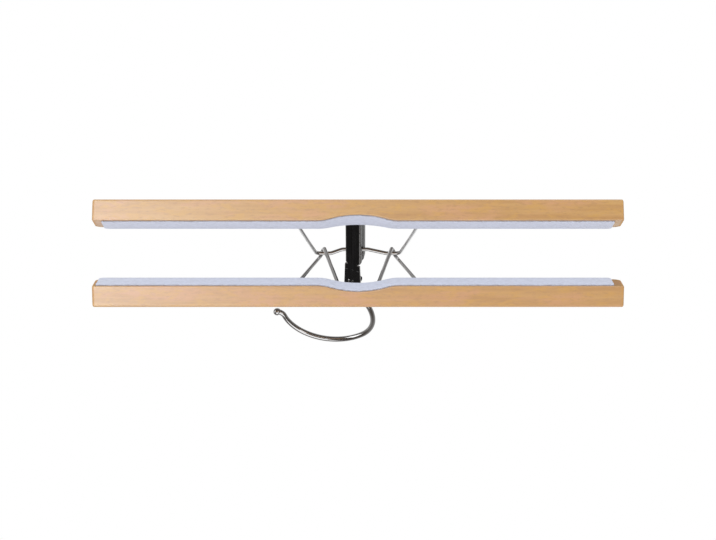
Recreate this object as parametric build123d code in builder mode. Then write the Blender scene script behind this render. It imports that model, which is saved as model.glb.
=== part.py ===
from build123d import *
import os
from math import radians, degrees, sin, cos, tan, sqrt

os.makedirs("parts", exist_ok=True)

# A trouser hanger shown open. Two wooden bars lined with felt hang from two bent wires that are
# linked at one cross bar. A black sheet latch turns on that cross bar and carries a round hook
# that swivels in the ear at its end.
# +Z is up as the hanger hangs, X runs along the bars and the front bar stands at -Y. The origin is
# the seat inside the hook's bowl, where the rail lies.

# driving sizes, in mm
bar_length = 350.0          # along the jaws
bar_height = 22.0
bar_thickness = 14.2
bar_corner = 5.5            # upper corners of each bar's ends
bar_foot_corner = 1.2       # lower corners of each bar's ends
bar_edge = 1.1              # bevel round the outer side

relief_half_length = 27.0   # the hollow in the middle of the inner face, half its length
relief_turn = 19.0          # where the run-in turns from convex to hollow
relief_slope = 16.5         # degrees, the steepest slope of the run-in

felt_thickness = 1.2
felt_closed_gap = 0.3       # between the two linings with the jaws shut
felt_end_inset = 5.2        # bare wood left at each end
felt_low_inset = 1.7        # bare wood left below the lining
felt_top_inset = 0.5
felt_corner = 3.0

frame_rise = 78.0           # hinge line above the bars
open_half_angle = 11.8      # degrees, each jaw from the middle plane
frame_wire = 2.7            # diameter of the bent frame wires
socket_depth = 13.0         # wire ends inside the bars
socket_clearance = 0.05
leg_spread = 43.5           # wire feet from the middle
leg_upright = 4.0           # straight stretch of a leg above its socket
foot_bend = 9.0             # bend radius above the socket
cross_half = 29.6           # corners of the cross bar from the middle
cross_bend = 4.0            # bend radius at these corners
latch_shift = -2.1          # the latch sits off the middle by this much
bow_depth = 2.8             # the cross bar's middle is set forward by this much
bow_half_flat = 9.0
bow_run = 8.0               # length over which the bow runs in
bow_run_out = 13.0          # and out again, on the longer side
bow_bend = 7.0              # bend radius of the bow

link_clearance = 0.35       # between the linked wires
peak_outer = 26.6           # the peak's outer strand from the middle, at the cross bar
peak_inner = 24.0           # the peak's inner strand
valley_half = 12.2          # half the width of the rear wire's valley
valley_bend = 4.5

latch_lean = 46.0           # degrees, the latch's rise above level as shown
latch_roll = 21.0           # degrees, the latch tipped about its own length
latch_width = 11.2
latch_tip_width = 12.6      # the tongue widens towards the ear
latch_sheet = 1.0
latch_bend = 1.9            # outer bend radius between web and flange
flange_depth = 11.0
web_offset = 5.4            # outer face of the web from the pivot line
arm_length = 34.0           # from the pivot to the end below
flange_reach = 10.0         # from the pivot to the flange's upper end
flange_corner = 4.6
arm_corner = 3.2
tongue_length = 33.0        # from the pivot to the ear's outer face
ear_width = 8.4
ear_notch = 1.5             # bend reliefs beside the ear's root
ear_notch_depth = 2.4
ear_corner = 2.6
groove_width = 0.9
groove_depth = 0.35
groove_end_inset = 2.5
slot_play = 0.3             # around the cross bar in the flange slots

hook_wire = 4.0
hook_swivel = 12.0          # degrees, the hook turned about its stem as shown
stem_fit = 0.06             # radial clearance of the stem in the ear
washer_outer = 7.4
washer_thickness = 0.8
stack_gap = 0.1             # between ear, washer, head and collar
head_radius = 3.1
head_height = 1.6
collar_outer = 6.6
collar_height = 3.0
collar_fit = 0.02
collar_edge = 0.4
neck_start = 6.0            # straight stem above the ear before the neck bends
bowl_radius = 34.0          # middle of the wire round the bowl
tip_ball = 5.6              # diameter of the ball at the hook's tip

# derived sizes
wire_r = frame_wire / 2
hook_r = hook_wire / 2
felt_face = -felt_closed_gap / 2
wood_face = felt_face - felt_thickness
wire_line = wood_face - bar_thickness / 2
link_offset = frame_wire + link_clearance

# placing frames
along = Vector(1, 0, 0)
lean = radians(latch_lean)
latch_axis = Vector(0, cos(lean), sin(lean))
web_down = Vector(0, sin(lean), -cos(lean))
roll = radians(latch_roll)
latch_across = along * cos(roll) + web_down * sin(roll)
turn = radians(hook_swivel)
hook_across = along * cos(turn) + web_down * sin(turn)

# The hook's outline, in its own plane: across and along the stem, as shares of the bowl's radius.
neck_shares = (0.135, 1.482)        # the outward bend of the neck hands over to the bowl here
side_shares = (0.388, 2.103)
shoulder_shares = (0.159, 2.615)
crown_shares = (-0.641, 2.944)
far_shares = (-1.144, 2.850)
drop_shares = (-1.476, 2.585)
flick_shares = (-1.574, 2.410)
ball_shares = (-1.735, 2.325)

crown_across = crown_shares[0] * bowl_radius
crown_along = crown_shares[1] * bowl_radius
pivot_from_hinge = Vector(latch_shift, -bow_depth, 0)
seat_from_pivot = hook_across * crown_across + latch_axis * (crown_along - hook_r)
hinge_point = (pivot_from_hinge + seat_from_pivot) * -1
pivot_point = hinge_point + pivot_from_hinge

opening = radians(open_half_angle)
front_jaw = Plane(origin=hinge_point, x_dir=along, z_dir=Vector(0, sin(opening), cos(opening)))
rear_jaw = Plane(origin=hinge_point, x_dir=along * -1, z_dir=Vector(0, -sin(opening), cos(opening)))
# The bow of the cross bar and the latch's pivot are set out in the row's own directions.
latch_frame = Plane(origin=pivot_point, x_dir=latch_across, z_dir=latch_axis)
hook_plane = Plane(origin=pivot_point, x_dir=hook_across, z_dir=hook_across.cross(latch_axis))

# the inner face's line, with the hollow in the middle
slope = radians(relief_slope)
shoulder_radius = (relief_half_length - relief_turn) / sin(slope)
hollow_radius = relief_turn / sin(slope)
turn_depth = shoulder_radius * (1 - cos(slope))
relief_depth = turn_depth + hollow_radius * (1 - cos(slope))


def inner_line(half_length, face):
    """The inner face seen from above: straight, run-in, hollow, run-in, straight."""
    Line((-half_length, face), (-relief_half_length, face))
    half_slope = slope / 2
    shoulder_mid = (relief_half_length - shoulder_radius * sin(half_slope),
                    shoulder_radius * (1 - cos(half_slope)))
    ThreePointArc((-relief_half_length, face), (-shoulder_mid[0], face - shoulder_mid[1]),
                  (-relief_turn, face - turn_depth))
    ThreePointArc((-relief_turn, face - turn_depth), (0, face - relief_depth),
                  (relief_turn, face - turn_depth))
    ThreePointArc((relief_turn, face - turn_depth), (shoulder_mid[0], face - shoulder_mid[1]),
                  (relief_half_length, face))
    Line((relief_half_length, face), (half_length, face))


def bowl_point(shares):
    return (shares[0] * bowl_radius, shares[1] * bowl_radius)


def round_wire(path, radius):
    """A round wire along a path of straight runs and arcs, drawn out span by span."""
    for span in path.edges():
        with BuildSketch(Plane(origin=span @ 0, z_dir=span % 0)) as section:
            Circle(radius)
        if span.geom_type == GeomType.LINE:
            extrude(section.sketch, amount=span.length)
        else:
            spoke = span @ 0 - span.arc_center
            revolve(section.sketch, axis=Axis(span.arc_center, spoke.cross(span % 0)),
                    revolution_arc=degrees(span.length / span.radius))


# the two jaws: a wooden bar and its felt lining each
half_bar = bar_length / 2
back_face = wood_face - bar_thickness
half_felt = half_bar - felt_end_inset
felt_height = bar_height - felt_low_inset - felt_top_inset

for side, jaw in (("front", front_jaw), ("rear", rear_jaw)):
    height_axis = Axis(jaw.origin, jaw.z_dir)
    depth_axis = Axis(jaw.origin, jaw.y_dir)

    with BuildPart() as bar:
        with BuildSketch(jaw.offset(-frame_rise - bar_height)):
            with BuildLine():
                inner_line(half_bar, wood_face)
                Polyline((half_bar, wood_face), (half_bar, back_face), (-half_bar, back_face),
                         (-half_bar, wood_face))
            make_face()
        extrude(amount=bar_height)
        end_edges = bar.edges().filter_by(depth_axis).sort_by(height_axis)
        fillet(end_edges[-2:], bar_corner)
        end_edges = bar.edges().filter_by(depth_axis).sort_by(height_axis)
        fillet(end_edges[:2], bar_foot_corner)
        outer_edges = bar.faces().sort_by(depth_axis)[0].edges()
        chamfer(outer_edges, bar_edge)
        with BuildSketch(jaw.offset(-frame_rise)):
            with Locations((-leg_spread, wire_line), (leg_spread, wire_line)):
                Circle(wire_r + socket_clearance)
        extrude(amount=-socket_depth - socket_clearance, mode=Mode.SUBTRACT)
    bar.part.label = side + "_bar"
    export_step(bar.part, "parts/" + side + "_bar.step")

    with BuildPart() as felt:
        with BuildSketch(jaw.offset(-frame_rise - bar_height + felt_low_inset)):
            with BuildLine():
                inner_line(half_felt, felt_face)
                Line((half_felt, felt_face), (half_felt, wood_face))
                inner_line(half_felt, wood_face)
                Line((-half_felt, wood_face), (-half_felt, felt_face))
            make_face()
        extrude(amount=felt_height)
        end_edges = felt.edges().filter_by(depth_axis).sort_by(height_axis)
        fillet(end_edges[-2:], felt_corner)
    felt.part.label = side + "_felt"
    export_step(felt.part, "parts/" + side + "_felt.step")

# front frame: one wire, two legs and a cross bar whose middle is bowed forward
pivot_local = front_jaw.to_local_coords(pivot_point)
front_left = [(-leg_spread, wire_line, -frame_rise - socket_depth),
              (-leg_spread, wire_line, -frame_rise + leg_upright),
              (-cross_half, 0, 0),
              (latch_shift - bow_half_flat - bow_run, 0, 0),
              (latch_shift - bow_half_flat, pivot_local.Y, pivot_local.Z)]
front_right = [(latch_shift + bow_half_flat, pivot_local.Y, pivot_local.Z),
               (latch_shift + bow_half_flat + bow_run_out, 0, 0),
               (cross_half, 0, 0),
               (leg_spread, wire_line, -frame_rise + leg_upright),
               (leg_spread, wire_line, -frame_rise - socket_depth)]
front_points = [front_jaw.from_local_coords(Vector(*p)) for p in front_left + front_right]
front_bends = [foot_bend, cross_bend, bow_bend, bow_bend, bow_bend, bow_bend, cross_bend, foot_bend]

with BuildPart() as front_frame:
    with BuildLine() as front_path:
        FilletPolyline(*front_points, radius=front_bends)
    path = front_path.wires()[0]
    round_wire(path, wire_r)
front_frame.part.label = "front_frame"
export_step(front_frame.part, "parts/front_frame.step")
print("front frame wire", round(path.length, 1), round(front_frame.part.volume / (path.length * wire_r ** 2), 3))

# rear frame: one wire bent like an M, its two peaks linked over the cross bar
valley_rise = -frame_rise + wire_r + socket_clearance
strand_tilt = (link_offset - wire_line) / (link_offset - valley_rise)
strand_start = link_offset * (sqrt(1 + strand_tilt ** 2) + strand_tilt)
rear_half = [(-leg_spread, wire_line, -frame_rise - socket_depth),
             (-leg_spread, wire_line, -frame_rise + leg_upright),
             (-peak_outer, -link_offset, link_offset),
             (-peak_inner, strand_start, link_offset),
             (-valley_half, wire_line, valley_rise)]
rear_other = [(-x, y, z) for x, y, z in reversed(rear_half)]
rear_points = [rear_jaw.from_local_coords(Vector(*p)) for p in rear_half + rear_other]
rear_bends = [foot_bend, link_offset, link_offset, valley_bend]
rear_bends = rear_bends + rear_bends[::-1]

with BuildPart() as rear_frame:
    with BuildLine() as rear_path:
        FilletPolyline(*rear_points, radius=rear_bends)
    path = rear_path.wires()[0]
    round_wire(path, wire_r)
rear_frame.part.label = "rear_frame"
export_step(rear_frame.part, "parts/rear_frame.step")
print("rear frame wire", round(path.length, 1), round(rear_frame.part.volume / (path.length * wire_r ** 2), 3))

# latch: a folded sheet channel with slotted flanges, a tongue and an ear for the stem
half_latch = latch_width / 2
web_inner = web_offset - latch_sheet
flange_edge = web_offset - flange_depth
slot_shift = latch_width * tan(roll) + slot_play
web_plane = Plane(origin=pivot_point + latch_frame.y_dir * web_offset, x_dir=latch_axis,
                  z_dir=latch_frame.y_dir)
flange_plane = Plane(origin=pivot_point, x_dir=latch_frame.y_dir, z_dir=latch_frame.x_dir)
across_axis = Axis(latch_frame.origin, latch_frame.x_dir)
length_axis = Axis(latch_frame.origin, latch_frame.z_dir)
sheet_axis = Axis(latch_frame.origin, latch_frame.y_dir)

with BuildPart() as latch:
    with BuildSketch(latch_frame.offset(-arm_length)):
        with Locations((0, web_offset - flange_depth / 2)):
            Rectangle(latch_width, flange_depth)
        fillet(vertices().group_by(Axis.Y)[-1], latch_bend)
        with BuildSketch(mode=Mode.PRIVATE) as channel:
            with Locations((0, web_inner - flange_depth / 2)):
                Rectangle(latch_width - 2 * latch_sheet, flange_depth)
            fillet(channel.vertices().group_by(Axis.Y)[-1], latch_bend - latch_sheet)
        add(channel.sketch, mode=Mode.SUBTRACT)
    extrude(amount=arm_length + flange_reach)
    rims = latch.edges().filter_by(across_axis).group_by(sheet_axis)[0].sort_by(length_axis)
    fillet(rims[-2:], flange_corner)
    rims = latch.edges().filter_by(across_axis).group_by(sheet_axis)[0].sort_by(length_axis)
    fillet(rims[:2], arm_corner)
    with BuildSketch(web_plane):
        with BuildLine():
            Polyline((flange_reach, -half_latch), (tongue_length, -latch_tip_width / 2),
                     (tongue_length, latch_tip_width / 2), (flange_reach, half_latch), close=True)
        make_face()
    extrude(amount=-latch_sheet)
    with BuildSketch(latch_frame.offset(tongue_length)):
        with Locations((0, web_offset - flange_depth / 2)):
            Rectangle(ear_width, flange_depth)
        fillet(vertices().group_by(Axis.Y)[0], ear_corner)
        Circle(hook_r + stem_fit, mode=Mode.SUBTRACT)
    extrude(amount=-latch_sheet)
    with BuildSketch(web_plane):
        with Locations((tongue_length - latch_sheet - ear_notch_depth / 2, 0)):
            with GridLocations(ear_notch_depth, 2 * ear_notch, 1, 2):
                Rectangle(ear_notch_depth, groove_width)
    extrude(amount=-latch_sheet, both=True, mode=Mode.SUBTRACT)
    groove_length = arm_length + tongue_length - ear_notch_depth - 2 * groove_end_inset
    with BuildSketch(web_plane):
        with Locations((groove_end_inset - arm_length + groove_length / 2, 0)):
            SlotOverall(groove_length, groove_width)
    extrude(amount=-groove_depth, mode=Mode.SUBTRACT)
    with BuildSketch(flange_plane):
        SlotCenterToCenter(slot_shift, frame_wire + 2 * slot_play)
    extrude(amount=latch_width, both=True, mode=Mode.SUBTRACT)
latch.part.label = "latch"
export_step(latch.part, "parts/latch.step")

# hook: stem with a riveted foot, swan neck, bowl, outward flick and a ball tip
ear_under = tongue_length - latch_sheet
washer_top = ear_under - stack_gap
head_top = washer_top - washer_thickness - stack_gap
neck_begin = tongue_length + neck_start

with BuildPart() as hook:
    with BuildLine(hook_plane) as hook_path:
        stem = Line((0, head_top - head_height / 2), (0, neck_begin))
        neck = TangentArc(stem @ 1, bowl_point(neck_shares), tangent=stem % 1)
        side = TangentArc(neck @ 1, bowl_point(side_shares), tangent=neck % 1)
        shoulder = TangentArc(side @ 1, bowl_point(shoulder_shares), tangent=side % 1)
        crown = TangentArc(shoulder @ 1, bowl_point(crown_shares), tangent=shoulder % 1)
        far = TangentArc(crown @ 1, bowl_point(far_shares), tangent=crown % 1)
        drop = TangentArc(far @ 1, bowl_point(drop_shares), tangent=far % 1)
        flick = TangentArc(drop @ 1, bowl_point(flick_shares), tangent=drop % 1)
        tip = TangentArc(flick @ 1, bowl_point(ball_shares), tangent=flick % 1)
    path = hook_path.wires()[0]
    for name, arc in (("neck", neck), ("side", side), ("shoulder", shoulder), ("crown", crown), ("far", far),
                      ("drop", drop), ("flick", flick), ("tip", tip)):
        print("hook", name, "radius", round(arc.edge().radius, 1), "length", round(arc.length, 1))
    round_wire(path, hook_r)
    with Locations(Location(path @ 1)):
        Sphere(tip_ball / 2)
    with BuildSketch(latch_frame.offset(head_top)):
        Circle(head_radius)
    extrude(amount=-head_height)
    chamfer(hook.edges().group_by(length_axis)[0], head_height / 2)
hook.part.label = "hook"
export_step(hook.part, "parts/hook.step")

with BuildPart() as swivel_washer:
    with BuildSketch(latch_frame.offset(washer_top)):
        Circle(washer_outer / 2)
        Circle(hook_r + stem_fit, mode=Mode.SUBTRACT)
    extrude(amount=-washer_thickness)
swivel_washer.part.label = "swivel_washer"
export_step(swivel_washer.part, "parts/swivel_washer.step")

with BuildPart() as stem_collar:
    with BuildSketch(latch_frame.offset(tongue_length + stack_gap)):
        Circle(collar_outer / 2)
        Circle(hook_r + collar_fit, mode=Mode.SUBTRACT)
    extrude(amount=collar_height)
    chamfer(stem_collar.edges().filter_by(GeomType.CIRCLE).sort_by(SortBy.LENGTH)[-2:], collar_edge)
stem_collar.part.label = "stem_collar"
export_step(stem_collar.part, "parts/stem_collar.step")

print("hinge", hinge_point)
print("pivot", pivot_point)
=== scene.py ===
# %% [markdown]
# # A clamp trouser hanger, dressed for the camera
# Two wooden bars lined with felt hang from two bent wires. A black folded latch sits on the joint
# of the wires and carries a round hook. The CAD model gives every piece its place, in metres, and
# this script gives each one a smoother surface and a finish.

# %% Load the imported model
import math
import bpy
import numpy as np
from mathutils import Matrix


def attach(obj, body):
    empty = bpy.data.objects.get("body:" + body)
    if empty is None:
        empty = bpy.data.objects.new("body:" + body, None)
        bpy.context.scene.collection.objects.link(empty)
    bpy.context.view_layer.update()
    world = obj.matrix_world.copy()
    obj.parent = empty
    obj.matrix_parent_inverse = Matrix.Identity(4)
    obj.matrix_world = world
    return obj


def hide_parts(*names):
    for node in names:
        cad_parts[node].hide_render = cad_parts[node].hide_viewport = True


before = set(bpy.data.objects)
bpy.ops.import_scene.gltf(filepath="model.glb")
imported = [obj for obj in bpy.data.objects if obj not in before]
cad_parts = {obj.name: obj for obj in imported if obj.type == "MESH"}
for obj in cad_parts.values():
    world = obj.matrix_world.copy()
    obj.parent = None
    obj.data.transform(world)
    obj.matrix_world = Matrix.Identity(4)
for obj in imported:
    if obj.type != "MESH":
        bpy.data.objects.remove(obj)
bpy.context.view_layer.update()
print("nodes:", ", ".join(sorted(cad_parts)))

# %% [markdown]
# ## Places
# Sizes are easier to read in millimetres, so all the numbers below are in millimetres and a piece
# is scaled once, when its mesh is made. The two jaws are mirror images about the hinge line, each
# turned from the middle by the opening angle. The latch and the hook have directions of their own.

# %% Directions of the jaws, the latch and the hook
MM = 0.001
hinge = np.array([23.4177, -62.0837, -73.712])
pivot = np.array([21.3177, -64.8837, -73.712])
opening, lean, roll, swivel = np.radians([11.8, 46.0, 21.0, 12.0])
east = np.array([1.0, 0.0, 0.0])


def unit(v):
    """A vector, or each row of an array, divided by its own length."""
    v = np.asarray(v, float)
    return v / np.linalg.norm(v, axis=-1, keepdims=True)


class Place:
    """An origin with three directions, which turns local points into points of the model."""

    def __init__(self, origin, x, y, z):
        self.origin, self.axes = origin, np.array([x, y, z])

    def out(self, local):
        """The origin, plus each local number times its direction."""
        return self.origin + np.asarray(local, float) @ self.axes


def jaw_place(side):
    """side is 1 for the front jaw and -1 for the rear one, which is the front one turned round."""
    return Place(hinge, side * east,
                 [0, side * math.cos(opening), -math.sin(opening)],
                 [0, side * math.sin(opening), math.cos(opening)])


jaws = {"front": jaw_place(1), "rear": jaw_place(-1)}
latch_axis = np.array([0, math.cos(lean), math.sin(lean)])
web_down = np.array([0, math.sin(lean), -math.cos(lean)])
latch_across = east * math.cos(roll) + web_down * math.sin(roll)
latch_place = Place(pivot, latch_across, np.cross(latch_axis, latch_across), latch_axis)
hook_across = east * math.cos(swivel) + web_down * math.sin(swivel)
hook_place = Place(pivot, hook_across, latch_axis, np.cross(hook_across, latch_axis))
print("latch web faces", np.round(latch_place.axes[1], 3))

# %% [markdown]
# ## The camera
# The photograph looks straight up at the hanger from below, so the bars show their lower faces
# and the hook lies behind them. The lens follows from the bars' length against their width in the
# picture, and a small shift puts the hinge where the photograph has it.

# %% Camera
IMAGE_WIDTH, IMAGE_HEIGHT = 716, 540
FOCAL_PIXELS, HINGE_ROW = 1978.7, 253.25
lens_height = -1.4713
camera_data = bpy.data.cameras.new("camera")
camera_data.sensor_width = 36.0
camera_data.lens = camera_data.sensor_width * FOCAL_PIXELS / IMAGE_WIDTH
camera_data.shift_y = -(IMAGE_HEIGHT / 2 - HINGE_ROW) / IMAGE_WIDTH
camera_data.clip_start, camera_data.clip_end = 0.01, 50
camera = bpy.data.objects.new("camera", camera_data)
camera.location = (hinge[0] * MM, hinge[1] * MM, lens_height)
camera.rotation_euler = (math.pi, 0, 0)
bpy.context.scene.collection.objects.link(camera)
bpy.context.scene.camera = camera
print("lens", round(camera_data.lens, 2), "shift", round(camera_data.shift_y, 4))

# %% [markdown]
# ## Surfaces from grids
# Every new piece is a grid of points: rows along the piece, columns round it. Whole arrays hold
# the points and the faces, so the same few lines make a wire, a bar or a washer. Where a piece
# ends, a single point closes it, so no hole is left.

# %% A mesh from a grid of points
def grid_quads(rows, columns, wrap_rows, wrap_columns):
    """Each face joins point (i, j) with its neighbours in the next column and the next row. Also
    gives the same corners counted without wrapping, which is what the UV map needs."""
    i, j = np.meshgrid(np.arange(rows if wrap_rows else rows - 1),
                       np.arange(columns if wrap_columns else columns - 1), indexing="ij")
    ci = np.stack([i, i, i + 1, i + 1], -1).reshape(-1, 4)
    cj = np.stack([j, j + 1, j + 1, j], -1).reshape(-1, 4)
    return (ci % rows) * columns + cj % columns, ci, cj


def make_piece(name, points, wrap_rows=False, caps=(None, None), flip=False, shares=None):
    """A closed surface from a (rows, columns, 3) grid in mm whose columns go right round. A cap is
    the point that closes the first or last row. shares is a dict of one number a point, kept on
    the mesh as attributes."""
    rows, columns, _ = points.shape
    quads, ci, cj = grid_quads(rows, columns, wrap_rows, True)
    along = np.concatenate([[0], np.cumsum(np.linalg.norm(np.diff(points.mean(1), axis=0), axis=1))])
    if wrap_rows:
        along = np.concatenate([along, [along[-1] + along[1]]])
    ring = np.linalg.norm(np.diff(points, axis=1, append=points[:, :1]), axis=2)
    around = np.concatenate([np.zeros((rows, 1)), np.cumsum(ring, axis=1)], axis=1)
    uv = np.stack([along[ci], around[ci % rows, cj]], -1)
    flat = points.reshape(-1, 3)
    faces, corner_uv = [quads], [uv.reshape(-1, 2)]
    extra = []
    for end, cap in enumerate(caps):
        if cap is None:
            continue
        base = end * (rows - 1) * columns
        j = np.arange(columns)
        tri = np.stack([np.full(columns, len(flat) + len(extra)), base + (j + 1) % columns, base + j], -1)
        faces.append(tri if end == 0 else tri[:, [0, 2, 1]])
        beside = uv.reshape(-1, 2)[0 if end == 0 else -1]
        corner_uv.append(np.tile(beside, (3 * columns, 1)))
        extra.append(np.asarray(cap, float))
    verts = np.vstack([flat] + [e[None] for e in extra]) * MM
    if flip:
        faces = [f[:, ::-1] for f in faces]
        corner_uv = [c.reshape(-1, f.shape[1], 2)[:, ::-1].reshape(-1, 2)
                     for c, f in zip(corner_uv, faces)]
    mesh = bpy.data.meshes.new(name)
    mesh.vertices.add(len(verts))
    mesh.vertices.foreach_set("co", verts.ravel())
    sizes = np.concatenate([np.full(len(f), f.shape[1]) for f in faces])
    mesh.loops.add(int(sizes.sum()))
    mesh.loops.foreach_set("vertex_index", np.concatenate([f.ravel() for f in faces]).astype(np.int32))
    mesh.polygons.add(len(sizes))
    mesh.polygons.foreach_set("loop_start", (np.cumsum(sizes) - sizes).astype(np.int32))
    mesh.polygons.foreach_set("use_smooth", np.ones(len(sizes), bool))
    mesh.update(calc_edges=True)
    layer = mesh.uv_layers.new(name="UVMap")
    layer.data.foreach_set("uv", (np.concatenate(corner_uv) * MM).ravel().astype(np.float32))
    for key, values in (shares or {}).items():
        field = mesh.attributes.new(key, "FLOAT", "POINT")
        filled = np.concatenate([np.asarray(values, float).ravel(), np.zeros(len(extra))])
        field.data.foreach_set("value", filled.astype(np.float32))
    mesh.validate()
    piece = bpy.data.objects.new(name, mesh)
    bpy.context.scene.collection.objects.link(piece)
    print(name, "-", len(verts), "points,", len(sizes), "faces")
    return piece


def settle(piece, body, slot, material, *nodes):
    """Gives a finished piece its finish and its body, and hides the nodes it stands for. slot is not used.
    """
    piece.data.materials.append(material)
    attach(piece, body)
    if nodes:
        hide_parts(*nodes)
    return piece


# %% [markdown]
# ## Finishes
# A finish is a small formula on the piece's own coordinates. Writing it as Python keeps it
# readable: the class below wraps a socket, so that a * 2 + b adds the Math nodes by itself.

# %% A socket that can be added and multiplied
class Value:
    """One number that varies over a surface. Arithmetic on it adds Math nodes."""

    def __init__(self, finish, socket):
        self.finish, self.socket = finish, socket

    def _do(self, operation, *values):
        return self.finish.node("ShaderNodeMath", {"operation": operation}, dict(enumerate(values)))

    def __add__(self, other):
        return self._do("ADD", self, other)

    def __radd__(self, other):
        return self._do("ADD", other, self)

    def __sub__(self, other):
        return self._do("SUBTRACT", self, other)

    def __rsub__(self, other):
        return self._do("SUBTRACT", other, self)

    def __mul__(self, other):
        return self._do("MULTIPLY", self, other)

    def __rmul__(self, other):
        return self._do("MULTIPLY", other, self)

    def __abs__(self):
        return self._do("ABSOLUTE", self)

    def sine(self):
        return self._do("SINE", self)

    def root(self):
        return self._do("SQRT", self)

    def ramp(self, low, high, out_low=0.0, out_high=1.0):
        """0 below low, 1 above high and a smooth step between, or the two out values."""
        return self.finish.node("ShaderNodeMapRange", {"interpolation_type": "SMOOTHSTEP", "clamp": True},
                                {0: self, 1: low, 2: high, 3: out_low, 4: out_high})


class Recipe:
    """A node tree, one method that adds any node to it, and short names for the common ones."""

    def __init__(self, tree):
        self.tree = tree

    def node(self, kind, settings=None, values=None, output=0):
        """A node of this kind: its settings first, then the values or links of its sockets."""
        node = self.tree.nodes.new(kind)
        for key, value in (settings or {}).items():
            setattr(node, key, value)
        for key, value in (values or {}).items():
            if isinstance(value, Value):
                self.tree.links.new(value.socket, node.inputs[key])
            else:
                node.inputs[key].default_value = value
        return Value(self, node.outputs[output])

    def place(self, scale=(1, 1, 1), turn=(0, 0, 0), shift=(0, 0, 0), source="Object"):
        """The surface's own coordinates in metres, shifted, turned and then stretched by scale."""
        coordinates = self.node("ShaderNodeTexCoord", output=source)
        turned = self.node("ShaderNodeMapping", {"vector_type": "POINT"},
                           {"Vector": coordinates, "Location": shift, "Rotation": turn})
        return self.node("ShaderNodeVectorMath", {"operation": "MULTIPLY"}, {0: turned, 1: scale})

    def noise(self, vector, scale=1.0, detail=3.0, roughness=0.5, distortion=0.0):
        """Cloudy noise round 0.5. detail is how many finer layers are added, each by roughness."""
        return self.node("ShaderNodeTexNoise", {}, {"Vector": vector, "Scale": scale, "Detail": detail,
                                                    "Roughness": roughness, "Distortion": distortion})

    def part(self, vector, axis):
        """One of a vector's three numbers: 0, 1 or 2."""
        return self.node("ShaderNodeSeparateXYZ", {}, {0: vector}, output=axis)

    def attribute(self, name):
        """A number that the mesh keeps at its points."""
        return self.node("ShaderNodeAttribute", {"attribute_name": name}, output="Fac")

    def mix(self, share, first, second):
        """Between two colours: the first where share is 0, the second where it is 1."""
        return self.node("ShaderNodeMix", {"data_type": "RGBA"},
                         {0: share, 6: first, 7: second}, output=2)

    def bump(self, height, distance, strength=1.0):
        """distance is how high the height's 1 stands, in metres."""
        return self.node("ShaderNodeBump", {},
                         {"Height": height, "Distance": distance, "Strength": strength})


class Finish(Recipe):
    """A material with one Principled shader. constants are set on the shader's own sockets."""

    def __init__(self, name, **constants):
        self.material = bpy.data.materials.new(name)
        self.material.use_nodes = True
        super().__init__(self.material.node_tree)
        self.shader = next(n for n in self.tree.nodes if n.type == "BSDF_PRINCIPLED")
        for key, value in constants.items():
            self.shader.inputs[key.replace("_", " ").title().replace("Ior", "IOR")].default_value = value

    def feed(self, **sockets):
        """Links the varying values to the shader and gives back the material."""
        for key, value in sockets.items():
            self.tree.links.new(value.socket, self.shader.inputs[key.replace("_", " ").title()])
        return self.material


# %% [markdown]
# ## Beech
# The bars are pale beech under a thin satin lacquer. Beech has little figure: faint growth rings,
# soft streaks, pink clouds, golden patches, brown flecks and thousands of short dark rays. The
# grain runs along the bars, so all patterns are stretched along X. A picture of wood could be
# wrapped round them, but noise runs on through every face and gives each bar its own figure. The
# lacquer is the shader's coat. The ends are cut across the grain and drink it up, so they are
# darker and duller.

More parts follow.
